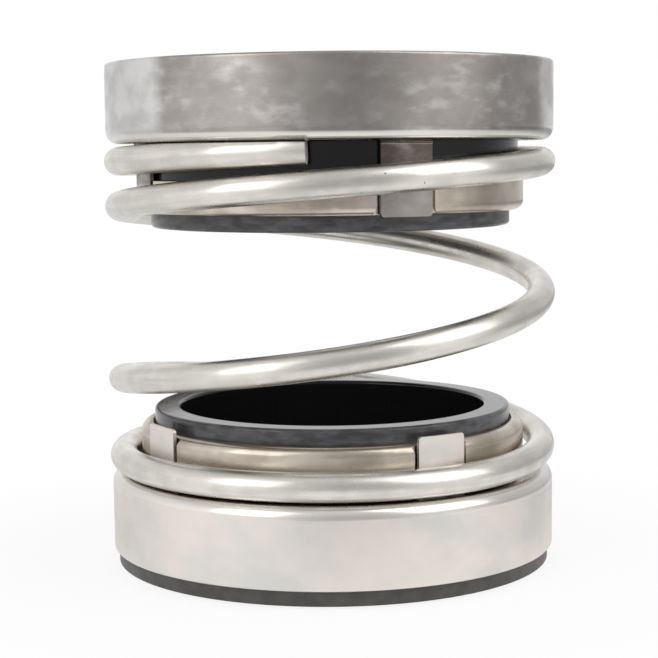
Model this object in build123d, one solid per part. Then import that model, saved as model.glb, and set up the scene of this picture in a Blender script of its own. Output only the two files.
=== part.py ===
from build123d import *
from math import cos, hypot, pi, radians, sin
import os

# Double-ended elastomer-bellows mechanical seal: two opposed heads on one shaft, pushed apart by one
# large single-coil spring. Lengths are in millimetres and angles in degrees. +Z runs up the shaft axis,
# and the origin is the centre of the lower seal face.
#
# A head is drawn on its own, with z = 0 on the shoulder that the spring sits on, its rubber tail
# towards +z and its seal face towards -z. The lower head stands that way up, and the upper one is
# turned over. Azimuths are counted from -Y towards +X.

# ---- driving dimensions -------------------------------------------------------------------------

# Shaft
shaft_diameter = 45.0
shaft_grip = 0.2              # the rubber bore is moulded this much under the shaft's diameter

# Retainer: a pressed stainless cup with a rounded shoulder
shell_wall = 0.5
shoulder_radius = 1.8         # outside radius where the band turns into the shoulder
rim_break = 0.4               # the cut rim's outer edge is broken by this much
neck_clearance = 0.45         # between the shoulder's inner edge and the rubber neck

# Drive tabs, bent up from the shoulder's inner edge
tab_count = 4
tab_width = 7.4
tab_corner = 0.5
tab_bend = 0.6                # inside radius of the bend
tab_relief = 0.7              # notch beside each tab's root
tab_reach = {"lower": 8.0, "upper": 10.0}
tab_azimuth = {"lower": 31.5, "upper": 21.0}

# Drive band: a pressed stainless ring round the rubber tail, its free edge turned in
band_length = 4.8
band_wall = 0.6
band_corner = 1.4             # outside radius of the turned-in edge
band_lip = 1.75               # how far the turned-in lip reaches in from the band's outside
slot_clearance = 0.5          # on each side of a tab
slot_flare = 0.4              # extra width on each side at a slot's mouth
slot_flare_height = 1.2
lip_clearance = 0.55          # between a tab and the lip behind it

# Where each drive band's free edge stands above its shoulder
band_edge = {"lower": 7.05, "upper": 9.9}

# Rubber bellows
tail_stand_out = 2.15         # how far the tail stands out of the drive band
tail_chamfer = 0.5
tail_thickness = 3.8          # wall of the tail where it stands out
rubber_fit = 0.05             # between the drive band and the rubber in it
tail_grip_length = 8.1        # length of the bore that grips the shaft
neck_step = 0.1               # the neck is this much thinner than the rubber in the band
tab_gap = 0.35                # between the tabs and the rubber inside them
fold_wall = 1.5
fold_gap = 0.5                # between the fold and the shoulder's underside
fold_room = 1.85              # inside height of the fold in the head whose ring sits deeper
fold_corner = 1.2
flange_thickness = 1.8
flange_gap = 0.4              # between the flange's edge and the shell

# Seal ring
ring_thickness = 5.0
ring_gap = 0.2                # between the ring and the shell
ring_bore_clearance = 1.5     # between the ring and the shaft
ring_edge = 0.15
nose_height = 0.35            # lapped face, raised from the ring's front
nose_inset_inside = 1.3
nose_inset_outside = 2.5
ring_stand_out = {"lower": 2.1, "upper": -0.25}   # of the ring's outer edge from the shell's rim

# Spring: one right-handed coil with closed and ground ends
wire_diameter = 4.0
spring_clearance = 0.4        # between the tabs and the coil round them
spring_overhang = 0.3         # how far the coil stands out past the shells
spring_length = 47.5          # from shoulder to shoulder
spring_turns = 1270.0 / 360.0
spring_tip_azimuth = -5.7     # of the upper end's tip
spring_seat_gap = 0.05
closed_gap = {"lower": 0.25, "upper": 0.8}   # between the shoulder and each closed end coil
tip_thickness = 3.0           # what is left of the wire at each tip, where it is ground flat
tip_angle = 130.0             # along which the wire bends towards the shoulder
closed_angle = {"lower": 221.0, "upper": 243.0}   # from the tip to where the coil opens
path_step = 15.0              # angle between the points that the wire's path runs through

# Pitch along the open coils from the upper end down: (share of their angle, relative pitch)
coil_pitch = [
    (0.00, 0.00),
    (0.07, 0.42),
    (0.145, 0.57),
    (0.32, 0.71),
    (0.38, 1.12),
    (0.43, 1.27),
    (0.55, 1.19),
    (0.62, 0.95),
    (0.68, 0.79),
    (0.83, 0.84),
    (0.89, 0.68),
    (0.95, 0.36),
    (1.00, 0.00),
]

# ---- sizes that follow --------------------------------------------------------------------------

bore_r = (shaft_diameter - shaft_grip) / 2
tail_r = bore_r + tail_thickness
lip_r = tail_r + rubber_fit + 0.2
band_r = lip_r + band_lip
band_inner_r = band_r - band_wall
gripped_r = band_inner_r - rubber_fit
neck_r = gripped_r - neck_step
tab_inner_r = gripped_r + tab_gap
tab_outer_r = tab_inner_r + shell_wall
tab_root_r = tab_outer_r + tab_bend
shoulder_hole_r = neck_r + neck_clearance
slot_width = tab_width + 2 * slot_clearance
slot_floor_r = tab_inner_r - lip_clearance

coil_inner_r = tab_outer_r + spring_clearance
coil_r = coil_inner_r + wire_diameter / 2
coil_outer_r = coil_inner_r + wire_diameter
tip_rise = tip_thickness - wire_diameter / 2   # from the shoulder to the wire's centre at a tip
closed_rise = {side: gap + wire_diameter / 2 for side, gap in closed_gap.items()}

shell_r = coil_outer_r - spring_overhang
ring_outer_r = shell_r - shell_wall - ring_gap
ring_inner_r = shaft_diameter / 2 + ring_bore_clearance
flange_outer_r = shell_r - shell_wall - flange_gap
flange_inner_r = ring_inner_r + 0.5

# The shell is as deep as what it holds: the fold, the flange and the ring
deepest_ring = min(ring_stand_out.values())
shell_height = (
    shell_wall + fold_gap + fold_wall + fold_room + flange_thickness + ring_thickness - deepest_ring
)
lower_shoulder_z = shell_height + ring_stand_out["lower"] + nose_height
upper_shoulder_z = lower_shoulder_z + spring_length


# ---- helpers ------------------------------------------------------------------------------------

def outline(*corners):
    """Face in the XZ plane from (radius, height, corner radius) triples."""
    points = [(r, z) for r, z, _ in corners]
    radii = [corner for _, _, corner in corners]
    return Plane.XZ * make_face(FilletPolyline(*points, radius=radii, close=True))


def turned(*corners):
    """Solid of revolution round the shaft axis."""
    return revolve(outline(*corners), Axis.Z)


def around(shape, count, azimuth):
    """Copies of a shape, the first turned to an azimuth and the rest spaced evenly."""
    return [Rot(Z=azimuth + 360 / count * i) * shape for i in range(count)]


def radial_block(inner_r, outer_r, *corners):
    """Block that faces -Y between two distances from the axis, from (x, z, corner radius) triples."""
    points = [(x, z) for x, z, _ in corners]
    radii = [corner for _, _, corner in corners]
    face = Plane.XZ.offset(inner_r) * make_face(FilletPolyline(*points, radius=radii, close=True))
    return extrude(face, outer_r - inner_r)


# ---- pieces of one head -------------------------------------------------------------------------

def retainer(reach, azimuth):
    """Pressed cup: band, rounded shoulder with a round hole, and the tabs bent up from its edge."""
    cup = turned(
        (shell_r, -shell_height, rim_break),
        (shell_r, 0, shoulder_radius),
        (shoulder_hole_r, 0, 0),
        (shoulder_hole_r, -shell_wall, 0),
        (shell_r - shell_wall, -shell_wall, shoulder_radius - shell_wall),
        (shell_r - shell_wall, -shell_height, 0),
    )
    notch_half = tab_width / 2 + tab_relief
    notch = radial_block(
        neck_r, tab_root_r,
        (-notch_half, -2 * shell_wall, 0),
        (notch_half, -2 * shell_wall, 0),
        (notch_half, shell_wall, 0),
        (-notch_half, shell_wall, 0),
    )
    bent_strip = turned(
        (tab_root_r + shell_wall, 0, 0),
        (tab_outer_r, 0, tab_bend),
        (tab_outer_r, reach, 0),
        (tab_inner_r, reach, 0),
        (tab_inner_r, -shell_wall, tab_bend + shell_wall),
        (tab_root_r + shell_wall, -shell_wall, 0),
    )
    tab_plate = radial_block(
        neck_r, shell_r,
        (-tab_width / 2, -2 * shell_wall, 0),
        (tab_width / 2, -2 * shell_wall, 0),
        (tab_width / 2, reach, tab_corner),
        (-tab_width / 2, reach, tab_corner),
    )
    tab = bent_strip & tab_plate
    return cup - around(notch, tab_count, azimuth) + around(tab, tab_count, azimuth)


def drive_band(edge, azimuth):
    """Thin ring with its free edge turned in, slotted for the tabs down to the lip."""
    hidden_end = edge - band_length
    ring = turned(
        (band_r, hidden_end, band_wall / 4),
        (band_r, edge, band_corner),
        (lip_r, edge, band_wall / 4),
        (lip_r, edge - band_wall, 0),
        (band_inner_r, edge - band_wall, band_corner - band_wall),
        (band_inner_r, hidden_end, 0),
    )
    half = slot_width / 2
    flare_z = edge - slot_flare_height
    slot = radial_block(
        slot_floor_r, shell_r,
        (-half, hidden_end - band_wall, 0),
        (half, hidden_end - band_wall, 0),
        (half, flare_z, 0),
        (half + slot_flare, edge, 0),
        (half + slot_flare, edge + band_wall, 0),
        (-half - slot_flare, edge + band_wall, 0),
        (-half - slot_flare, edge, 0),
        (-half, flare_z, 0),
    )
    return ring - around(slot, tab_count, azimuth)


def ring_rear(stand_out):
    """Height of the seal ring's rear face, which the bellows' flange lies on."""
    return -shell_height - stand_out + ring_thickness


def bellows(edge, stand_out):
    """Moulded rubber: tail, neck through the shoulder, one fold, and the flange behind the ring."""
    tail_end = edge + tail_stand_out
    grip_end = tail_end - tail_grip_length
    fold_top = -shell_wall - fold_gap
    fold_under = fold_top - fold_wall
    flange_front = ring_rear(stand_out)
    flange_back = flange_front + flange_thickness
    fold_inner_r = neck_r - fold_wall
    roll_inner_r = flange_outer_r - fold_wall
    return turned(
        (tail_r, tail_end, tail_chamfer),
        (bore_r, tail_end, tail_chamfer),
        (bore_r, grip_end, tail_chamfer),
        (fold_inner_r, grip_end, 0),
        (fold_inner_r, fold_under, fold_corner / 2),
        (roll_inner_r, fold_under, fold_corner / 2),
        (roll_inner_r, flange_back, fold_corner / 2),
        (flange_inner_r, flange_back, 0),
        (flange_inner_r, flange_front, 0),
        (flange_outer_r, flange_front, 0),
        (flange_outer_r, fold_top, fold_corner),
        (neck_r, fold_top, fold_corner / 2),
        (neck_r, edge - band_length, 0),
        (gripped_r, edge - band_length, 0),
        (gripped_r, edge - band_wall - rubber_fit, band_corner - band_wall),
        (tail_r, edge - band_wall - rubber_fit, 0),
    )


def seal_ring(stand_out):
    """Plain ring whose lapped nose is raised from its front face."""
    front = -shell_height - stand_out
    rear = ring_rear(stand_out)
    nose = front - nose_height
    nose_inner_r = ring_inner_r + nose_inset_inside
    nose_outer_r = ring_outer_r - nose_inset_outside
    return turned(
        (ring_outer_r, front, ring_edge),
        (ring_outer_r, rear, ring_edge),
        (ring_inner_r, rear, ring_edge),
        (ring_inner_r, front, ring_edge),
        (nose_inner_r, front, 0),
        (nose_inner_r, nose, 0),
        (nose_outer_r, nose, 0),
        (nose_outer_r, front, 0),
    )


# ---- spring -------------------------------------------------------------------------------------

def climbed(share):
    """Sum of the relative pitch from the upper end to a share of the open coils' angle."""
    total = 0
    for (start, first), (end, last) in zip(coil_pitch, coil_pitch[1:]):
        if share > start:
            reach = min(share, end) - start
            pitch = first + (last - first) * reach / (end - start)
            total += (first + pitch) / 2 * reach
    return total


def tip_bend(angle, side):
    """How much nearer its shoulder the wire's centre is, at an angle from that end's tip."""
    return (closed_rise[side] - tip_rise) * max(0, 1 - angle / tip_angle) ** 2


def coil_height(angle):
    """Height of the wire's centre at an angle from the upper tip."""
    from_lower_tip = 360 * spring_turns - angle
    upper_level = upper_shoulder_z - closed_rise["upper"]
    lower_level = lower_shoulder_z + closed_rise["lower"]
    open_angle = 360 * spring_turns - closed_angle["upper"] - closed_angle["lower"]
    share = min(1, max(0, (angle - closed_angle["upper"]) / open_angle))
    level = upper_level - (upper_level - lower_level) * climbed(share) / climbed(1)
    return level + tip_bend(angle, "upper") - tip_bend(from_lower_tip, "lower")


def spring():
    """Round wire swept along the coil, its two ends ground flat where they meet the shoulders."""
    total = 360 * spring_turns
    steps = round(total / path_step)
    points = []
    for i in range(steps + 1):
        angle = total * i / steps
        turn = radians(spring_tip_azimuth - angle)
        points.append((coil_r * sin(turn), -coil_r * cos(turn), coil_height(angle)))
    path = Spline(*points)
    section = Plane(origin=path @ 0, z_dir=path % 0) * Circle(wire_diameter / 2)
    wire = sweep(section, path, is_frenet=True)
    run = sum(hypot(*(b - a for a, b in zip(p, q))) for p, q in zip(points, points[1:]))
    expected = run * pi * wire_diameter ** 2 / 4
    print("spring: wire length", round(run, 1), "mm, volume over section times length",
          round(wire.volume / expected, 4))
    between = Pos(Z=lower_shoulder_z + spring_seat_gap) * Cylinder(
        2 * coil_outer_r, spring_length - 2 * spring_seat_gap,
        align=(Align.CENTER, Align.CENTER, Align.MIN),
    )
    return wire & between


# ---- assembly -----------------------------------------------------------------------------------

def head(side):
    """The four pieces of one head, in the head's own frame. Turning over mirrors the azimuths."""
    azimuth = tab_azimuth[side] if side == "lower" else -tab_azimuth[side]
    return {
        "seal_ring": seal_ring(ring_stand_out[side]),
        "bellows": bellows(band_edge[side], ring_stand_out[side]),
        "retainer": retainer(tab_reach[side], azimuth),
        "drive_band": drive_band(band_edge[side], azimuth),
    }


placement = {
    "lower": Pos(Z=lower_shoulder_z),
    "upper": Pos(Z=upper_shoulder_z) * Rot(Y=180),
}

nodes = {"spring": spring()}
for side, place in placement.items():
    for name, piece in head(side).items():
        nodes[f"{side}_{name}"] = place * piece

os.makedirs("parts", exist_ok=True)
for name, shape in nodes.items():
    solids = shape.solids()
    if len(solids) != 1:
        print("WARNING", name, "has", len(solids), "solids")
    export_step(solids[0] if len(solids) == 1 else shape, f"parts/{name}.step")
    size = shape.bounding_box().size
    print(f"{name}: volume {shape.volume:.0f} mm3, size {size.X:.1f} x {size.Y:.1f} x {size.Z:.1f}")
print("shoulders at", round(lower_shoulder_z, 2), round(upper_shoulder_z, 2))
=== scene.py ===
# %% [markdown]
# # A double mechanical seal, one piece at a time
# A mechanical seal stops a pump leaking where its shaft leaves the casing. This one has two heads back to
# back. Each head is a flat seal ring, a rubber bellows behind it, a pressed steel retainer round both and
# a slotted drive band on the rubber's tail. One large coil spring pushes the two heads apart.
# The frame gives every piece its place and its moving body, so this script only makes shapes and finishes.

# %% Load the frame
import math

import bpy
import numpy as np
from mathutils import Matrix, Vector


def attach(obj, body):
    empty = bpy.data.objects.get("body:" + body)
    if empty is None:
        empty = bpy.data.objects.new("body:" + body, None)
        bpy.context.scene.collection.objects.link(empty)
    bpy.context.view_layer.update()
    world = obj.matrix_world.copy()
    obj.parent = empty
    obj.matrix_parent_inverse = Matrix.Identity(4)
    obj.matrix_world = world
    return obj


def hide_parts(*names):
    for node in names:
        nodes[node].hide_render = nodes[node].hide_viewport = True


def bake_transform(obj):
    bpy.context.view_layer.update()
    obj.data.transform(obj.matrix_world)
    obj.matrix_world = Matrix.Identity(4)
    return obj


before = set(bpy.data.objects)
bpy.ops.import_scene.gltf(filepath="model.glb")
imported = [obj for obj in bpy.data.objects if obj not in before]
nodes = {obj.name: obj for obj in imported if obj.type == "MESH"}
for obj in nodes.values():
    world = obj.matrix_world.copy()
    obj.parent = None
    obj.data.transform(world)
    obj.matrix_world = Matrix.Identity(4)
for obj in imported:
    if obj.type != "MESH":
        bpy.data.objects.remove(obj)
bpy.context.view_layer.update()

# %% [markdown]
# ## Measures
# Drawings of such seals are in millimetres, and Blender works in metres, so lengths are written in
# millimetres and changed once, in the function that makes a mesh. The two shoulders are the flat steel
# faces that the spring stands on, and each head is described from its own shoulder outwards.

# %% Lengths in millimetres
MM = 0.001
LOWER_SHOULDER = 13.85
UPPER_SHOULDER = 61.35
COIL_RADIUS = 30.8
WIRE_RADIUS = 2.0


# %% [markdown]
# ## Camera
# The object is 73 mm tall and fills most of a square frame, seen from about 250 mm away and a little
# above its middle. A lens of about 93 mm on a 36 mm sensor gives that framing. The camera is turned a
# fraction of a degree about its own line of sight, as a camera held by hand is.

# %% Place the camera
def place_camera():
    """Camera at a distance from the target, backwards and upwards by the pitch angle."""
    lens_mm = 93.2
    distance = 252.3 * MM
    pitch = 0.1049
    roll = math.radians(-0.58)
    target = np.array([-0.34, 0.0, 33.83]) * MM
    data = bpy.data.cameras.new("camera")
    data.lens = lens_mm
    data.sensor_width = 36.0
    data.clip_start = 0.01
    camera = bpy.data.objects.new("camera", data)
    bpy.context.scene.collection.objects.link(camera)
    back = np.array([0.0, -math.cos(pitch), math.sin(pitch)])
    camera.location = target + distance * back
    camera.rotation_mode = "ZXY"
    camera.rotation_euler = (math.pi / 2 - pitch, 0.0, roll)
    bpy.context.scene.camera = camera
    return camera


camera = place_camera()
print("camera at", [round(v * 1000, 1) for v in camera.location], "mm")

# %% [markdown]
# ## Helpers for materials
# Every colour is written as the hex value that a paint chart or a web page would give. Blender's shaders
# work in linear light, so one function changes a hex value to linear numbers. A second one adds a node
# with its settings and its links, which keeps each material short enough to read.


# %% Colour and node helpers
def linear(hex_colour):
    """sRGB hex to linear RGBA: c / 12.92 below 0.04045, else ((c + 0.055) / 1.055) ^ 2.4."""
    srgb = np.array([int(hex_colour[i:i + 2], 16) / 255 for i in (1, 3, 5)])
    low = srgb / 12.92
    high = ((srgb + 0.055) / 1.055) ** 2.4
    return (*np.where(srgb <= 0.04045, low, high), 1.0)


def add_node(tree, kind, *inputs, **named):
    """Adds a shader node. Names in lower case are its settings. All other values are its inputs, in the
    order of its sockets in use or by name, and a node given as an input is linked by its first output."""
    node = tree.nodes.new("ShaderNode" + kind)
    for name, value in named.items():
        if name[0].islower():
            setattr(node, name, value)
    sockets = [socket for socket in node.inputs if socket.enabled]
    given = list(zip(sockets, inputs))
    for name, value in named.items():
        if name[0].isupper():
            given.append((next(socket for socket in sockets if socket.name == name.replace("_", " ")), value))
    for socket, value in given:
        if isinstance(value, bpy.types.Node):
            value = next(output for output in value.outputs if output.enabled)
        if isinstance(value, bpy.types.NodeSocket):
            tree.links.new(value, socket)
        else:
            socket.default_value = value
    return node


def new_material(name):
    """Empty material, returned with its node tree."""
    material = bpy.data.materials.new(name)
    material.use_nodes = True
    material.node_tree.nodes.clear()
    return material, material.node_tree


SMOOTH = {"interpolation_type": "SMOOTHSTEP"}
COLOUR = {"data_type": "RGBA"}

# %% [markdown]
# ## Studio
# Bright metal is mostly a picture of what stands round it, so the studio matters more than its paint.
# The object stands on white card with a white room behind it. Reflections see the card at half brightness
# in front of the object, at 0.84 at the sides and behind, and at about 0.4 at its right rear. They see the
# room as dim in front and at the right. That is what gives polished steel its grey middle. Two soft boxes,
# one at the left and a larger and higher one at the right, draw the two long highlights along each turn
# of the spring.


# %% Floor
def make_floor():
    """A flat square. The camera sees white with a soft shadow near the object. Reflections see a card of
    brightness 1, less 0.5 in a wedge in front, 0.16 at the sides and behind, and 0.45 at the right rear.
    Each of these fades in between two places, in metres, or between two directions."""
    half = 1.5
    wedge_middle, wedge_edge, wedge_core = (math.radians(degrees) for degrees in (8, 42, 14))
    side_start, side_end = math.radians(50), math.radians(105)
    front_fade, right_fade, rear_fade, shadow_fade = (-0.05, -0.15), (0.07, 0.22), (-0.12, 0.0), (0.035, 0.09)
    mesh = bpy.data.meshes.new("floor")
    corners = [(-half, -half, 0), (half, -half, 0), (half, half, 0), (-half, half, 0)]
    mesh.from_pydata(corners, [], [(0, 1, 2, 3)])
    floor = bpy.data.objects.new("floor", mesh)
    bpy.context.scene.collection.objects.link(floor)
    material, tree = new_material("white_card_floor")
    place = add_node(tree, "TexCoord").outputs["Object"]
    part = add_node(tree, "SeparateXYZ", place)
    x, y = part.outputs["X"], part.outputs["Y"]
    ahead = add_node(tree, "Math", y, -1.0, operation="MULTIPLY")
    angle = add_node(tree, "Math", x, ahead, operation="ARCTAN2")
    past_front = add_node(tree, "Math", angle, wedge_middle, operation="SUBTRACT")
    off_front = add_node(tree, "Math", past_front, operation="ABSOLUTE")
    wedge = add_node(tree, "MapRange", off_front, wedge_edge, wedge_core, 0.0, 1.0, **SMOOTH)
    on_front_side = add_node(tree, "MapRange", y, *front_fade, 0.0, 1.0, **SMOOTH)
    front = add_node(tree, "Math", on_front_side, wedge, operation="MULTIPLY")
    rightward = add_node(tree, "MapRange", x, *right_fade, 0.0, 1.0, **SMOOTH)
    rearward = add_node(tree, "MapRange", y, *rear_fade, 0.0, 0.45, **SMOOTH)
    right = add_node(tree, "Math", rightward, rearward, operation="MULTIPLY")
    aside = add_node(tree, "Math", angle, operation="ABSOLUTE")
    sides = add_node(tree, "MapRange", aside, side_start, side_end, 1.0, 0.84, **SMOOTH)
    less_front = add_node(tree, "Math", front, -0.5, sides, operation="MULTIPLY_ADD")
    level = add_node(tree, "Math", less_front, right, operation="SUBTRACT")
    far = add_node(tree, "VectorMath", place, operation="LENGTH")
    path = add_node(tree, "LightPath")
    clear = add_node(tree, "MapRange", far, *shadow_fade, 0.88, 1.0, **SMOOTH)
    direct = add_node(tree, "Math", path.outputs["Is Camera Ray"], clear, operation="MULTIPLY")
    any_mirror = add_node(tree, "Math", path.outputs["Is Glossy Ray"], path.outputs["Is Transmission Ray"],
                          operation="MAXIMUM")
    mirrored = add_node(tree, "Math", any_mirror, 0.95, operation="MULTIPLY")
    card = add_node(tree, "BsdfPrincipled", Base_Color=linear("#F4F4F4"), Roughness=0.9,
                    Specular_IOR_Level=0.2)
    plain_glow = add_node(tree, "Emission", (1, 1, 1, 1), 1.0)
    card_glow = add_node(tree, "Emission", (1, 1, 1, 1), level)
    seen = add_node(tree, "MixShader", direct, card, plain_glow)
    add_node(tree, "OutputMaterial", add_node(tree, "MixShader", mirrored, seen, card_glow))
    mesh.materials.append(material)


make_floor()


# %% Soft boxes
def add_soft_box(name, azimuth, elevation, distance, size, strength):
    """Area lamp seen from the object's middle at an azimuth from -Y towards +X and an elevation."""
    data = bpy.data.lights.new(name, "AREA")
    data.shape = "RECTANGLE"
    data.size, data.size_y = size
    data.energy = strength * math.pi * size[0] * size[1]
    lamp = bpy.data.objects.new(name, data)
    bpy.context.scene.collection.objects.link(lamp)
    turn, rise = math.radians(azimuth), math.radians(elevation)
    away = Vector((math.sin(turn) * math.cos(rise), -math.cos(turn) * math.cos(rise), math.sin(rise)))
    lamp.location = Vector((0, 0, 0.036)) + distance * away
    lamp.rotation_euler = away.to_track_quat("Z", "Y").to_euler()
    lamp.visible_camera = False


add_soft_box("left_soft_box", -45, 29, 0.5, (0.28, 0.38), 1.45)
add_soft_box("right_soft_box", 64, 40, 0.5, (0.38, 0.50), 1.45)


# %% World
def make_world():
    """Reflections see brightness by compass direction, fading to one level overhead. Diffuse light comes
    from an even grey room, and the camera sees plain white."""
    overhead, diffuse = (0.72, 0.72, 0.72, 1), (0.65, 0.65, 0.65, 1)
    world = bpy.data.worlds.new("studio")
    bpy.context.scene.world = world
    world.use_nodes = True
    tree = world.node_tree
    tree.nodes.clear()
    part = add_node(tree, "SeparateXYZ", add_node(tree, "TexCoord").outputs["Generated"])
    ahead = add_node(tree, "Math", part.outputs["Y"], -1.0, operation="MULTIPLY")
    angle = add_node(tree, "Math", part.outputs["X"], ahead, operation="ARCTAN2")
    ramp = add_node(tree, "ValToRGB", add_node(tree, "MapRange", angle, -math.pi, math.pi))
    levels = [(-180, 1.0), (-140, 0.82), (-110, 0.90), (-86, 1.02), (-65, 1.0), (-48, 0.92), (-30, 0.83),
              (-14, 0.68), (0, 0.53), (18, 0.52), (32, 0.62), (42, 0.74), (52, 0.78), (66, 0.83), (84, 0.64),
              (102, 0.52), (140, 0.64), (180, 1.0)]
    ramp.color_ramp.elements.remove(ramp.color_ramp.elements[1])
    for i, (degrees, level) in enumerate(levels):
        spot = (degrees + 180) / 360
        element = ramp.color_ramp.elements[0] if i == 0 else ramp.color_ramp.elements.new(spot)
        element.position = spot
        element.color = (level, level, level, 1)
    height = add_node(tree, "MapRange", part.outputs["Z"], 0.25, 0.85, 0.0, 1.0, **SMOOTH)
    room = add_node(tree, "Mix", height, ramp, overhead, **COLOUR)
    path = add_node(tree, "LightPath")
    lit = add_node(tree, "Mix", path.outputs["Is Glossy Ray"], diffuse, room, **COLOUR)
    plain = add_node(tree, "Mix", path.outputs["Is Camera Ray"], lit, (1, 1, 1, 1), **COLOUR)
    add_node(tree, "OutputWorld", add_node(tree, "Background", plain, 1.0))


make_world()
bpy.context.scene.view_settings.view_transform = "Standard"
print("studio: floor, two soft boxes and the room")

# %% [markdown]
# ## Helpers for surfaces
# All of the new pieces are made the same way: a grid of points worked out with numpy, one row of the
# grid per step along a path and one column per step round a section. The grid is closed round the
# section, so the faces join the last column to the first.


# %% Grid to mesh
def grid_faces(rows, columns, wrap_rows):
    """Quads between neighbouring rows and columns. Columns always wrap, and rows wrap if asked."""
    count = rows if wrap_rows else rows - 1
    i = np.arange(count)[:, None]
    j = np.arange(columns)[None, :]
    i2, j2 = (i + 1) % rows, (j + 1) % columns
    corners = [i * columns + j, i * columns + j2, i2 * columns + j2, i2 * columns + j]
    return np.stack([np.broadcast_to(c, (count, columns)) for c in corners], axis=-1).reshape(-1, 4)


def facing_out(points, faces):
    """Quads of a closed shell, turned over if its volume, from the sum of a . (b x c), is negative."""
    a, b, c, d = (points[faces[:, k]] for k in range(4))
    volume = np.sum(a * np.cross(b, c)) + np.sum(a * np.cross(c, d))
    return faces if volume > 0 else faces[:, ::-1]


def make_piece(name, points_mm, faces, crease_degrees=35.0):
    """Mesh object from points in millimetres. Edges sharper than the crease angle stay sharp."""
    mesh = bpy.data.meshes.new(name)
    mesh.from_pydata((points_mm * MM).tolist(), [], [tuple(f) for f in faces])
    mesh.update()
    mesh.shade_smooth()
    mesh.set_sharp_from_angle(angle=math.radians(crease_degrees))
    piece = bpy.data.objects.new(name, mesh)
    bpy.context.scene.collection.objects.link(piece)
    print(f"{name}: {len(mesh.vertices)} points, {len(mesh.polygons)} faces")
    return piece


# %% Rounded outline
def rounded_outline(corners, arc_steps=7, support=0.12):
    """Closed outline from (radius, height, corner radius) triples. Each corner becomes an arc tangent to
    both of its sides: its ends lie r / tan(half angle) from the corner, and its centre on the bisector.
    A side over 1 mm gets a point close to each of its ends, so that its shading stays flat."""
    corners = np.array(corners, float)
    places, radii = corners[:, :2], corners[:, 2]
    points = []
    for i, (corner, r) in enumerate(zip(places, radii)):
        before = places[i - 1] - corner
        after = places[(i + 1) % len(places)] - corner
        if r == 0:
            points.append(corner[None])
            continue
        u, v = before / np.linalg.norm(before), after / np.linalg.norm(after)
        half = math.acos(np.clip(u @ v, -1, 1)) / 2
        centre = corner + (u + v) / np.linalg.norm(u + v) * r / math.sin(half)
        first = corner + u * r / math.tan(half) - centre
        last = corner + v * r / math.tan(half) - centre
        share = np.linspace(0, 1, arc_steps)[:, None]
        sweep = math.pi - 2 * half
        arc = (np.sin((1 - share) * sweep) * first + np.sin(share * sweep) * last) / math.sin(sweep)
        points.append(centre + arc)
    outline = np.concatenate(points)
    side = np.roll(outline, -1, axis=0) - outline
    length = np.linalg.norm(side, axis=1, keepdims=True)
    near_ends = [outline + side * support / length, outline + side * (1 - support / length)]
    is_long = length[:, 0] > 1
    kept = np.stack([np.full(len(outline), True), is_long, is_long], axis=1)
    return np.stack([outline, *near_ends], axis=1)[kept]


def turned_piece(name, outline, steps=192):
    """Surface of revolution: each outline point (r, z) goes to (r sin t, -r cos t, z) round the axis."""
    turn = np.linspace(0, 2 * np.pi, steps, endpoint=False)[:, None]
    r, z = outline[None, :, 0], outline[None, :, 1]
    points = np.stack([r * np.sin(turn), -r * np.cos(turn), z + 0 * turn], axis=-1).reshape(-1, 3)
    return make_piece(name, points, facing_out(points, grid_faces(steps, len(outline), wrap_rows=True)))


# %% [markdown]
# ## Pressed steel retainers
# Each retainer is a cup drawn from half-millimetre stainless sheet. Its wall turns over a rounding into the
# shoulder that the spring stands on, and the shoulder has a round hole for the rubber neck. Four tongues
# at the hole's edge are bent up to drive the slotted band. The cup is one outline turned about the axis,
# with the hole's edge set back beside the tongues, and each tongue is a strip bent along its own path.


# %% Sizes of a retainer
SHEET = 0.5
SHELL_RADIUS = 32.5
SHELL_HEIGHT = 11.4
SHOULDER_ROUND = 1.8
HOLE_RADIUS = 27.9
SQUEEZED_RADIUS = 30.5
NOTCH_HALF_DEGREES = 8.9
TAB_ROOT_RADIUS = 29.0
TAB_WIDTH = 7.4
TAB_BEND = 0.6


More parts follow.
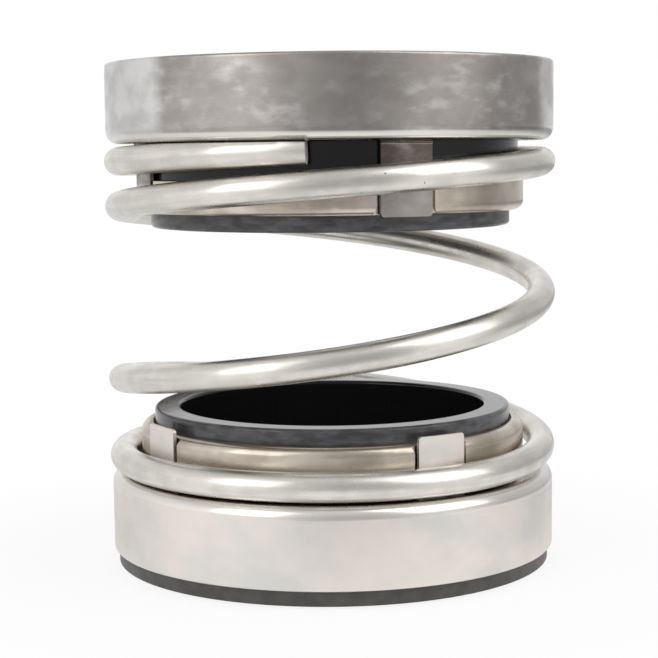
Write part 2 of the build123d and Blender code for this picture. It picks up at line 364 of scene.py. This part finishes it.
# %% Cup with four notches
def cup_shell(tab_azimuth):
    """Outline turned about the axis. In a notch the hole's edge moves out to the tab's root, and what lies
    inside the squeezed radius is pushed together to match. The wall is out of round by up to about two
    hundredths of a millimetre, as a sum of sines of the azimuth and the height."""
    inside = SHELL_RADIUS - SHEET
    outline = rounded_outline([
        (SHELL_RADIUS, -SHELL_HEIGHT, 0.4), (SHELL_RADIUS, 0, SHOULDER_ROUND), (HOLE_RADIUS, 0, 0.08),
        (HOLE_RADIUS, -SHEET, 0.08), (inside, -SHEET, SHOULDER_ROUND - SHEET), (inside, -SHELL_HEIGHT, 0.06),
    ], arc_steps=12)
    regular = np.arange(0, 360, 1.25)
    edges = (tab_azimuth + 90 * np.arange(4)[:, None] + NOTCH_HALF_DEGREES * np.array([-1, 1])).ravel()
    degrees = np.unique(np.concatenate([regular, edges - 0.03, edges + 0.03]) % 360)
    from_tab = np.abs((degrees - tab_azimuth + 45) % 90 - 45)[:, None]
    r, z = outline[None, :, 0], outline[None, :, 1]
    left_over = (SQUEEZED_RADIUS - TAB_ROOT_RADIUS) / (SQUEEZED_RADIUS - HOLE_RADIUS)
    squeezed = TAB_ROOT_RADIUS + (r - HOLE_RADIUS) * left_over
    turn = np.radians(degrees)[:, None]
    r = np.where((from_tab < NOTCH_HALF_DEGREES) & (r < SQUEEZED_RADIUS), squeezed, r + 0 * turn)
    uneven = 0.012 * np.sin(3 * turn + 1) + 0.007 * np.sin(7 * turn + 0.35 * z)
    uneven = uneven + 0.004 * np.sin(13 * turn - 0.6 * z)
    r = r + uneven * np.clip((r - SQUEEZED_RADIUS) / (inside - SQUEEZED_RADIUS), 0, 1)
    points = np.stack([r * np.sin(turn), -r * np.cos(turn), z + 0 * turn], axis=-1).reshape(-1, 3)
    return points, grid_faces(len(degrees), len(outline), wrap_rows=True)


# %% Bent-up tab
def tab_shell(azimuth, reach):
    """Strip between an outer and an inner path, one sheet apart: a quarter circle each about one centre,
    then straight up. The width closes by c - sqrt(c c - t t) over the last c = 0.5 mm, for round corners."""
    corner, steps = 0.5, 13
    inner_bend = TAB_BEND + SHEET
    outside = TAB_ROOT_RADIUS - TAB_BEND
    centre = TAB_ROOT_RADIUS + 0.01
    bend = np.radians(np.linspace(0, 90, steps))
    straight = np.linspace(TAB_BEND + 0.12, reach - corner - 0.05, 9)
    rise = np.concatenate([straight, reach - corner * (1 - np.sin(bend))])
    outer = np.stack([centre - TAB_BEND * np.sin(bend), TAB_BEND * (1 - np.cos(bend))], axis=1)
    inner = np.stack([centre - inner_bend * np.sin(bend), TAB_BEND - inner_bend * np.cos(bend)], axis=1)
    outer = np.concatenate([outer, np.stack([np.full(rise.shape, outside), rise], axis=1)])
    inner = np.concatenate([inner, np.stack([np.full(rise.shape, outside - SHEET), rise], axis=1)])
    over = np.clip(outer[:, 1] - (reach - corner), 0, corner)
    half = TAB_WIDTH / 2 - corner + np.sqrt(corner ** 2 - over ** 2)
    across = np.linspace(-1, 1, steps)
    lateral = half[:, None] * np.concatenate([across, across[::-1]])
    r = np.concatenate([np.repeat(outer[:, :1], steps, 1), np.repeat(inner[:, :1], steps, 1)], axis=1)
    z = np.concatenate([np.repeat(outer[:, 1:], steps, 1), np.repeat(inner[:, 1:], steps, 1)], axis=1)
    depth = np.sqrt(r ** 2 - lateral ** 2)
    turn = math.radians(azimuth)
    points = np.stack([lateral * math.cos(turn) + depth * math.sin(turn),
                       lateral * math.sin(turn) - depth * math.cos(turn), z], axis=-1).reshape(-1, 3)
    rows, columns = r.shape
    j = np.arange(steps - 1)
    root = np.stack([j, j + 1, columns - 2 - j, columns - 1 - j], axis=1)
    tip = root[:, ::-1] + (rows - 1) * columns
    return points, np.concatenate([grid_faces(rows, columns, wrap_rows=False), root[:, ::-1], tip[:, ::-1]])


# %% Make both retainers
def make_retainer(side, shoulder, outward, tab_azimuth, reach):
    """The cup and its four tabs in one mesh, stood on the shoulder upwards or downwards."""
    shells = [cup_shell(tab_azimuth)] + [tab_shell(tab_azimuth + 90 * k, reach) for k in range(4)]
    points, faces, count = [], [], 0
    for shell_points, shell_faces in shells:
        shell_points[:, 2] = shoulder + outward * shell_points[:, 2]
        points.append(shell_points)
        faces.append(facing_out(shell_points, shell_faces) + count)
        count += len(shell_points)
    piece = make_piece(f"{side}_pressed_retainer", np.concatenate(points), np.concatenate(faces))
    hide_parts(f"{side}_retainer")
    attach(piece, f"{side}_head")
    return piece


lower_retainer = make_retainer("lower", LOWER_SHOULDER, 1, tab_azimuth=31.5, reach=8.0)
upper_retainer = make_retainer("upper", UPPER_SHOULDER, -1, tab_azimuth=21.0, reach=10.0)

# %% [markdown]
# ## Rubber bellows
# The bellows is moulded nitrile rubber. Its tail grips the shaft, a thin neck passes through the hole in
# the steel shoulder, and inside the retainer it folds once and ends in a flange behind the seal ring.
# It is round all the way, so one outline turned about the axis is the whole piece. Its corners are
# rounded, because rubber leaves a mould that way, and those roundings catch the light.


# %% Outline of one bellows
BORE_RADIUS = 22.4
TAIL_RADIUS = 26.2
GRIPPED_RADIUS = 27.55
NECK_RADIUS = 27.45
NECK_INNER_RADIUS = 25.95
FOLD_INNER_RADIUS = 30.1
FLANGE_RADIUS = 31.6
FLANGE_INNER_RADIUS = 24.5
TAIL_PAST_BAND = 2.15
GRIP_LENGTH = 8.1
BAND_LENGTH = 4.8
FOLD_TOP = -1.0
FOLD_UNDER = -2.5


def bellows_outline(band_edge, ring_rear):
    """Outline in the head's own frame, from the heights of the band's free edge and the ring's rear face.
    It runs down the bore, round the inside of the fold, back along its outside and up past the band."""
    tail_end = band_edge + TAIL_PAST_BAND
    grip_end = tail_end - GRIP_LENGTH
    band_start, under_lip = band_edge - BAND_LENGTH, band_edge - 0.65
    flange_back = ring_rear + 1.8
    corners = [
        (TAIL_RADIUS, tail_end, 0.5), (BORE_RADIUS, tail_end, 0.5), (BORE_RADIUS, grip_end, 0.5),
        (NECK_INNER_RADIUS, grip_end, 0), (NECK_INNER_RADIUS, FOLD_UNDER, 0.6),
        (FOLD_INNER_RADIUS, FOLD_UNDER, 0.6), (FOLD_INNER_RADIUS, flange_back, 0.6),
        (FLANGE_INNER_RADIUS, flange_back, 0.2), (FLANGE_INNER_RADIUS, ring_rear, 0.2),
        (FLANGE_RADIUS, ring_rear, 0.2), (FLANGE_RADIUS, FOLD_TOP, 1.2), (NECK_RADIUS, FOLD_TOP, 0.6),
        (NECK_RADIUS, band_start, 0), (GRIPPED_RADIUS, band_start, 0), (GRIPPED_RADIUS, under_lip, 0.8),
        (TAIL_RADIUS, under_lip, 0),
    ]
    return rounded_outline(corners)


def stretch_neck(piece):
    """Bakes the piece's placement into its mesh and reads its points back in millimetres. Nothing is done
    with them, and no weights are set."""
    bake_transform(piece)
    place = np.empty(len(piece.data.vertices) * 3, np.float32)
    piece.data.vertices.foreach_get("co", place)
    place = place.reshape(-1, 3) / MM


# %% Make both bellows
def make_bellows(side, shoulder, outward, band_edge, ring_rear):
    """Turns the outline and stands it on its shoulder, upwards or downwards."""
    outline = bellows_outline(band_edge, ring_rear)
    outline[:, 1] = shoulder + outward * outline[:, 1]
    piece = turned_piece(f"{side}_rubber_bellows", outline)
    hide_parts(f"{side}_bellows")
    stretch_neck(piece)
    return piece


lower_bellows = make_bellows("lower", LOWER_SHOULDER, 1, band_edge=7.05, ring_rear=-8.5)
upper_bellows = make_bellows("upper", UPPER_SHOULDER, -1, band_edge=9.9, ring_rear=-6.15)

# %% [markdown]
# ## Spring
# The spring is one stainless wire, 4 mm thick, wound right-handed with three and a half turns. At each
# end the last turn lies close to its shoulder, and the tip is ground flat. Between the ends the pitch
# opens and closes again. The height of the wire is the sum of its pitch along the coil, so a short table
# of pitches gives the whole curve.

# %% Height of the wire along the coil
TURN_DEGREES = 1270.0
TIP_AZIMUTH = -5.7
TIP_DEGREES = 130.0
CLOSED_RISE = {"lower": 2.25, "upper": 2.8}
CLOSED_ANGLE = {"lower": 221.0, "upper": 243.0}
PITCH_SHARE = [0, 0.07, 0.145, 0.32, 0.38, 0.43, 0.55, 0.62, 0.68, 0.83, 0.89, 0.95, 1]
PITCH_FREE = [0, 0.42, 0.57, 0.71, 1.12, 1.27, 1.19, 0.95, 0.79, 0.84, 0.68, 0.36, 0]


def wire_height(angle, upper_shoulder, pitch_share, pitch):
    """Height of the wire's centre: the upper closed level less the summed pitch, bent at both tips
    towards the shoulders by (rise - 1) * (1 - angle from the tip / 130) ^ 2."""
    upper_level = upper_shoulder - CLOSED_RISE["upper"]
    lower_level = LOWER_SHOULDER + CLOSED_RISE["lower"]
    open_angle = TURN_DEGREES - CLOSED_ANGLE["upper"] - CLOSED_ANGLE["lower"]
    fine = np.linspace(0, 1, 4001)
    rate = np.interp(fine, pitch_share, pitch)
    climbed = np.concatenate([[0], np.cumsum((rate[1:] + rate[:-1]) / 2)])
    share = np.clip((angle - CLOSED_ANGLE["upper"]) / open_angle, 0, 1)
    level = upper_level - (upper_level - lower_level) * np.interp(share, fine, climbed / climbed[-1])
    upper_tip = (CLOSED_RISE["upper"] - 1) * np.clip(1 - angle / TIP_DEGREES, 0, 1) ** 2
    lower_tip = (CLOSED_RISE["lower"] - 1) * np.clip(1 - (TURN_DEGREES - angle) / TIP_DEGREES, 0, 1) ** 2
    return level + upper_tip - lower_tip


coil_angle = np.linspace(0, TURN_DEGREES, 636)
height_free = wire_height(coil_angle, UPPER_SHOULDER, PITCH_SHARE, PITCH_FREE)
print("wire centre from", height_free.min().round(2), "to", height_free.max().round(2), "mm")


# %% [markdown]
# The wire's section is a circle carried along the free coil, and the two shoulders cut its ends flat.


# %% Sweep the wire
def wire_surface(angle, height, sides=32):
    """Circle of radius r carried along the coil: centre + r (cos a * outward + sin a * across), where
    across is the tangent crossed with outward. The ends are cut flat by the shoulders."""
    azimuth = np.radians(TIP_AZIMUTH - angle)
    outward = np.stack([np.sin(azimuth), -np.cos(azimuth), 0 * azimuth], axis=1)
    centre = COIL_RADIUS * outward
    centre[:, 2] = height
    tangent = np.gradient(centre, axis=0)
    tangent /= np.linalg.norm(tangent, axis=1, keepdims=True)
    across = np.cross(tangent, outward)
    across /= np.linalg.norm(across, axis=1, keepdims=True)
    a = math.pi + np.linspace(0, 2 * np.pi, sides, endpoint=False)[None, :, None]
    points = centre[:, None] + WIRE_RADIUS * (np.cos(a) * outward[:, None] + np.sin(a) * across[:, None])
    seat = 0.05
    points[..., 2] = np.clip(points[..., 2], LOWER_SHOULDER + seat, UPPER_SHOULDER - seat)
    return points


def wire_uv(rows, sides):
    """Metres round the section and along the wire for each corner of each side face, with the seam on the
    inside of the coil, then a flat disc, r (cos a, sin a), for each corner of both end fans."""
    run = COIL_RADIUS * math.radians(TURN_DEGREES) * MM
    girth = 2 * math.pi * WIRE_RADIUS * MM
    i, j = np.meshgrid(np.arange(rows - 1), np.arange(sides), indexing="ij")
    u = np.stack([j, j + 1, j + 1, j], axis=-1) / sides * girth
    v = np.stack([i, i, i + 1, i + 1], axis=-1) / (rows - 1) * run
    a = 2 * np.pi * np.stack([np.zeros(sides), np.arange(sides) + 1, np.arange(sides)], axis=-1) / sides
    r = WIRE_RADIUS * MM * np.array([0, 1, 1])
    disc = np.stack([r * np.cos(a), r * np.sin(a)], axis=-1).reshape(-1, 2)
    return np.concatenate([np.stack([u, v], axis=-1).reshape(-1, 2), disc, disc[:, ::-1]])


def make_spring():
    """Swept wire with its two ends closed by a fan of triangles round a middle point."""
    points = wire_surface(coil_angle, height_free)
    rows, sides = points.shape[:2]
    faces = grid_faces(rows, sides, wrap_rows=False).tolist()
    flat = points.reshape(-1, 3)
    ends = np.array([points[0].mean(axis=0), points[-1].mean(axis=0)])
    first, last = rows * sides, rows * sides + 1
    start = (rows - 1) * sides
    faces += [(first, (j + 1) % sides, j) for j in range(sides)]
    faces += [(last, start + j, start + (j + 1) % sides) for j in range(sides)]
    piece = make_piece("coil_spring", np.concatenate([flat, ends]), faces, crease_degrees=50.0)
    uv = piece.data.uv_layers.new(name="along_wire")
    uv.data.foreach_set("uv", wire_uv(rows, sides).ravel().astype(np.float32))
    is_end = np.arange(len(piece.data.polygons)) >= (rows - 1) * sides
    number = piece.data.attributes.new("material_index", "INT", "FACE")
    number.data.foreach_set("value", is_end.astype(np.int32))
    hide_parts("spring")
    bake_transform(piece)
    return piece


spring = make_spring()

# %% [markdown]
# ## Pressed stainless
# The retainers and the drive bands are pressed from stainless sheet. A press leaves soft clouds of tone, a
# little wider than high, and shallow dents, and it burnishes the rounding that was dragged over the die.
# A painted picture could show that, but noise on the object's own coordinates needs no unwrapping and is
# sized in millimetres. Zones are told apart by their distance from the height halfway between the
# shoulders, so that one material serves both heads. The band of the rounding next to the shoulder is made
# paler, partly for the burnish and partly as a painted highlight. The upper retainer alone has pale scuffs,
# a painted dark reflection on its front and painted shade at the roots of its tabs.


# %% Where each zone begins and is full, in metres from the middle height, or for the last one along Y
MIDDLE = 0.0376
TAB_ROOT_ZONE = (0.0172, 0.0184)
SHOULDER_ZONE = (0.0232, 0.0238)
SHOULDER_BAND_ZONE = (0.0252, 0.0248)
ROUNDING_ZONE = (0.0260, 0.0255)
FRONT_ZONE = (-0.0179, -0.0205)


# %% Pressed sheet
def pressed_stainless(name, light, dark, roughness, cloud_mm, dent_um, painted_shade_and_scuffs=0.0):
    """Metal with clouds of two tones and two roughnesses, and shallow dents. The rounding at the shoulder
    is burnished by the die, so it is smoother, and it is paler next to the shoulder, partly for the burnish
    and partly as a painted highlight. Painted shade darkens the front, as a painted reflection of the dim
    room there, and the tabs' roots all round, where the spring shades them. A piece with painted shade also
    has pale scuffs from handling, all round."""
    material, tree = new_material(name)
    place = add_node(tree, "TexCoord").outputs["Object"]
    part = add_node(tree, "SeparateXYZ", place)
    above_middle = add_node(tree, "Math", part.outputs["Z"], MIDDLE, operation="SUBTRACT")
    from_middle = add_node(tree, "Math", above_middle, operation="ABSOLUTE")
    past_tabs = add_node(tree, "MapRange", from_middle, *SHOULDER_ZONE, 0.0, 1.0, **SMOOTH)
    rounded = add_node(tree, "MapRange", from_middle, *ROUNDING_ZONE, 0.0, 1.0, **SMOOTH)
    near_shoulder = add_node(tree, "MapRange", from_middle, *SHOULDER_BAND_ZONE, 0.0, 1.0, **SMOOTH)
    burnished = add_node(tree, "Math", rounded, past_tabs, operation="MULTIPLY")
    shoulder_band = add_node(tree, "Math", near_shoulder, past_tabs, operation="MULTIPLY")
    drawn_out = add_node(tree, "Mapping", place, Scale=(0.7, 0.7, 1))
    cloud = add_node(tree, "TexNoise", drawn_out, Scale=1000 / cloud_mm, Detail=4.0)
    light_share = add_node(tree, "MapRange", cloud, 0.35, 0.65, 0.0, 1.0, **SMOOTH)
    tone = add_node(tree, "Mix", light_share, linear(dark), linear(light), **COLOUR)
    if painted_shade_and_scuffs:
        # Painted reflection: the front is darkened where the steel mirrors the dim room in front of it.
        turned = add_node(tree, "Mapping", place, Rotation=(0, 0, math.radians(-9.5)))
        ahead = add_node(tree, "SeparateXYZ", turned).outputs["Y"]
        front = add_node(tree, "MapRange", ahead, *FRONT_ZONE, 0.0, painted_shade_and_scuffs, **SMOOTH)
        kept = add_node(tree, "Math", 1.0, shoulder_band, operation="SUBTRACT")
        painted_front_reflection = add_node(tree, "Math", front, kept, operation="MULTIPLY")
        tone = add_node(tree, "Mix", painted_front_reflection, tone, linear("#C9C4C1"), blend_type="MULTIPLY", **COLOUR)
        # Painted shade: the upper part of each tab, between the spring and the shoulder, is darkened.
        near_root = add_node(tree, "MapRange", from_middle, *TAB_ROOT_ZONE, 0.0, 1.0, **SMOOTH)
        on_tabs = add_node(tree, "MapRange", from_middle, *SHOULDER_ZONE[::-1], 0.0, 1.0, **SMOOTH)
        root = add_node(tree, "Math", near_root, on_tabs, operation="MULTIPLY")
        tone = add_node(tree, "Mix", root, tone, linear("#9A918B"), blend_type="MULTIPLY", **COLOUR)
        flat_blobs = add_node(tree, "Mapping", place, Scale=(0.5, 0.5, 1))
        fleck = add_node(tree, "TexNoise", flat_blobs, Scale=1000 / 1.5, Detail=3.0)
        handled = add_node(tree, "TexNoise", place, Scale=1000 / 7.0, Detail=1.0)
        flecks = add_node(tree, "MapRange", fleck, 0.42, 0.74, 0.0, 0.38, **SMOOTH)
        patches = add_node(tree, "MapRange", handled, 0.38, 0.62, 0.15, 1.0, **SMOOTH)
        scuff = add_node(tree, "Math", flecks, patches, operation="MULTIPLY")
        tone = add_node(tree, "Mix", scuff, tone, linear("#E6E5E4"), **COLOUR)
    # Partly burnish, partly painted highlight: the band of the rounding next to the shoulder is made paler.
    bright = add_node(tree, "Math", shoulder_band, 0.7, operation="MULTIPLY")
    tone = add_node(tree, "Mix", bright, tone, linear("#E4E1DC"), **COLOUR)
    matt = add_node(tree, "MapRange", cloud, 0.35, 0.65, *roughness, **SMOOTH)
    smoothed = add_node(tree, "Math", burnished, roughness[1] * 0.45, operation="MULTIPLY")
    rough = add_node(tree, "Math", matt, smoothed, operation="SUBTRACT")
    dent = add_node(tree, "TexNoise", place, Scale=1000 / 6.0, Detail=2.0)
    dents = add_node(tree, "Bump", Strength=1.0, Distance=dent_um * 1e-6, Height=dent)
    steel = add_node(tree, "BsdfPrincipled", Base_Color=tone, Metallic=1.0, Roughness=rough, Normal=dents)
    add_node(tree, "OutputMaterial", steel)
    return material


bright_stainless = pressed_stainless(
    "bright_pressed_stainless", "#EAE2DB", "#D9D7D3", roughness=(0.44, 0.36), cloud_mm=9.0, dent_um=14)
band_stainless = pressed_stainless(
    "polished_pressed_stainless", "#D6CCBF", "#B6AB9E", roughness=(0.27, 0.20), cloud_mm=5.0, dent_um=14)
dull_stainless = pressed_stainless(
    "handled_and_shade_painted_stainless", "#D9D8D6", "#C4C2C0", roughness=(0.34, 0.24), cloud_mm=4.0, dent_um=20,
    painted_shade_and_scuffs=1.0)
print("pressed steels:", bright_stainless.name, band_stainless.name, dull_stainless.name)

# %% [markdown]
# ## Drawn wire
# The spring is wire that was pulled through a die, which leaves fine lines along it. They are far too fine
# to model as faces, so the shader does it. Its metal is anisotropic, and takes its tangent from a UV map
# that counts metres round the section one way and along the wire the other. The lines are drawn coarser
# than real ones, so that they show. The cut ends are rough from the cutting wheel and scatter light, so
# they get a duller steel of their own.


# %% Drawn wire
def drawn_wire():
    """Metal with fine lines along the wire. The lines spread a highlight round the wire and not along it,
    so the surface is anisotropic, with its tangent round the section. Handling has left dull patches, and
    a few dark specks sit in the lines."""
    material, tree = new_material("drawn_stainless_wire")
    round_section = add_node(tree, "Tangent", direction_type="UV_MAP", uv_map="along_wire")
    along = add_node(tree, "Mapping", add_node(tree, "UVMap", uv_map="along_wire"), Scale=(1, 0.06, 1))
    place = add_node(tree, "TexCoord").outputs["Object"]
    patch = add_node(tree, "TexNoise", place, Scale=1000 / 4.0, Detail=2.0)
    streak = add_node(tree, "TexNoise", along, Scale=1000 / 0.8, Detail=1.5)
    grit = add_node(tree, "TexNoise", place, Scale=1000 / 0.9, Detail=1.0)
    both = add_node(tree, "Math", patch, streak, operation="ADD")
    light_share = add_node(tree, "MapRange", both, 0.8, 1.2, 0.0, 1.0, **SMOOTH)
    tone = add_node(tree, "Mix", light_share, linear("#D3D0C9"), linear("#E2DED7"), **COLOUR)
    speck = add_node(tree, "MapRange", grit, 0.79, 0.84, 0.0, 1.0, **SMOOTH)
    tone = add_node(tree, "Mix", speck, tone, linear("#7A756E"), **COLOUR)
    rough = add_node(tree, "MapRange", patch, 0.35, 0.65, 0.32, 0.25, **SMOOTH)
    lines = add_node(tree, "Bump", Strength=1.0, Distance=0.000004, Height=streak)
    wire = add_node(tree, "BsdfPrincipled", Base_Color=tone, Metallic=1.0, Roughness=rough, Anisotropic=0.6,
                    Normal=lines, Tangent=round_section)
    add_node(tree, "OutputMaterial", wire)
    return material


# %% Cut wire
def cut_wire():
    """The wire's two cut ends: the same steel, left rough by the cutting wheel, so it looks pale and dull."""
    material, tree = new_material("cut_stainless_wire")
    place = add_node(tree, "TexCoord").outputs["Object"]
    drawn_out = add_node(tree, "Mapping", place, Scale=(1, 1, 0.15))
    scratches = add_node(tree, "TexNoise", drawn_out, Scale=1000 / 0.3, Detail=2.0)
    tone = add_node(tree, "Mix", scratches, linear("#CFCBC4"), linear("#F2F0EC"), **COLOUR)
    lines = add_node(tree, "Bump", Strength=1.0, Distance=0.00003, Height=scratches)
    end = add_node(tree, "BsdfPrincipled", Base_Color=tone, Metallic=1.0, Roughness=0.7, Normal=lines)
    add_node(tree, "OutputMaterial", end)
    return material


# %% [markdown]
# ## Moulded rubber
# The bellows is black rubber with the polish of its mould. The end of each tail is greyed, partly by the
# bloom that comes out when such rubber is stored and partly as a painted sheen. The grey is patchy, so
# noise spreads it, inside a zone that leaves the bore and the hidden fold clean. The grain is coarser than a
# real one, so that it shows.


# %% Where the grey of bloom and painted sheen begins and is full, in metres from the middle height and from the axis
TAIL_ZONE = (0.0180, 0.0165)
OUTSIDE_BORE_ZONE = (0.0225, 0.0235)


# %% Rubber
def moulded_rubber():
    """Black rubber, glossy where it left the polished mould, with a patchy grey on the tail's end that is
    partly bloom and partly painted sheen.
    """
    material, tree = new_material("moulded_nitrile_rubber")
    place = add_node(tree, "TexCoord").outputs["Object"]
    part = add_node(tree, "SeparateXYZ", place)
    flat = add_node(tree, "CombineXYZ", part.outputs["X"], part.outputs["Y"])
    radius = add_node(tree, "VectorMath", flat, operation="LENGTH")
    above_middle = add_node(tree, "Math", part.outputs["Z"], MIDDLE, operation="SUBTRACT")
    from_middle = add_node(tree, "Math", above_middle, operation="ABSOLUTE")
    outside_bore = add_node(tree, "MapRange", radius, *OUTSIDE_BORE_ZONE, 0.0, 1.0, **SMOOTH)
    at_tail = add_node(tree, "MapRange", from_middle, *TAIL_ZONE, 0.0, 1.0, **SMOOTH)
    end = add_node(tree, "Math", outside_bore, at_tail, operation="MULTIPLY")
    flat_blobs = add_node(tree, "Mapping", place, Scale=(1, 1, 3))
    blotch = add_node(tree, "TexNoise", flat_blobs, Scale=1000 / 3.0, Detail=3.0)
    patches = add_node(tree, "MapRange", blotch, 0.3, 0.7, 0.4, 1.0, **SMOOTH)
    # Partly bloom, partly painted sheen: the tail's end is greyed.
    bloom_and_painted_sheen = add_node(tree, "Math", patches, end, operation="MULTIPLY")
    tone = add_node(tree, "Mix", bloom_and_painted_sheen, linear("#181718"), linear("#5C5B5E"), **COLOUR)
    rough = add_node(tree, "MapRange", patches, 0.0, 1.0, 0.08, 0.14, **SMOOTH)
    texture = add_node(tree, "TexNoise", place, Scale=1000 / 0.6, Detail=3.0)
    grain = add_node(tree, "Bump", Strength=1.0, Distance=0.000004, Height=texture)
    skin = add_node(tree, "BsdfPrincipled", Base_Color=tone, Roughness=rough, IOR=1.52, Normal=grain,
                    Specular_IOR_Level=0.3)
    add_node(tree, "OutputMaterial", skin)
    return material


# %% [markdown]
# ## Carbon-graphite
# The seal rings are carbon-graphite bonded with resin and turned to size. They look matte and dark, with a
# slight mottle. Two scales of noise give that, one for the mottle and one for a grain in the bump. The
# grain is coarser than a real one, so that it shows.


# %% Carbon
def carbon_graphite():
    """Resin-bonded carbon: warm dark grey and matte, with a fine grain."""
    material, tree = new_material("turned_carbon_graphite")
    place = add_node(tree, "TexCoord").outputs["Object"]
    blotch = add_node(tree, "TexNoise", place, Scale=1000 / 2.0, Detail=4.0)
    light_share = add_node(tree, "MapRange", blotch, 0.3, 0.7, 0.0, 1.0, **SMOOTH)
    tone = add_node(tree, "Mix", light_share, linear("#403E3B"), linear("#4F4C48"), **COLOUR)
    texture = add_node(tree, "TexNoise", place, Scale=1000 / 0.3, Detail=2.0)
    grain = add_node(tree, "Bump", Strength=1.0, Distance=0.000006, Height=texture)
    carbon = add_node(tree, "BsdfPrincipled", Base_Color=tone, Roughness=0.45, Normal=grain)
    add_node(tree, "OutputMaterial", carbon)
    return material


# %% [markdown]
# ## Giving out the finishes
# The new surfaces and the two kinds of node that stay, the drive bands and the seal rings, get their
# materials here, in one place. Only the spring has two, one for the wire and one for its cut ends.


# %% Give each piece its finish
def finish_with(thing, *materials):
    """Puts one material on a piece or a node, or one for each of its numbered groups of faces. Clearing
    the list also sets every face's number to 0, so it is only done where there is something to clear."""
    if len(thing.data.materials) > 0:
        thing.data.materials.clear()
    for material in materials:
        thing.data.materials.append(material)


rubber, carbon = moulded_rubber(), carbon_graphite()
finish_with(spring, drawn_wire(), cut_wire())
for piece in (lower_bellows, upper_bellows):
    finish_with(piece, rubber)
finish_with(lower_retainer, bright_stainless)
finish_with(upper_retainer, dull_stainless)
for side in ("lower", "upper"):
    finish_with(nodes[f"{side}_drive_band"], band_stainless)
    finish_with(nodes[f"{side}_seal_ring"], carbon)
dressed = [lower_retainer, upper_retainer, lower_bellows, upper_bellows, spring]
dressed += [nodes[f"{side}_{kind}"] for side in ("lower", "upper") for kind in ("drive_band", "seal_ring")]
for thing in dressed:
    print(thing.name, "wears", [material.name for material in thing.data.materials])
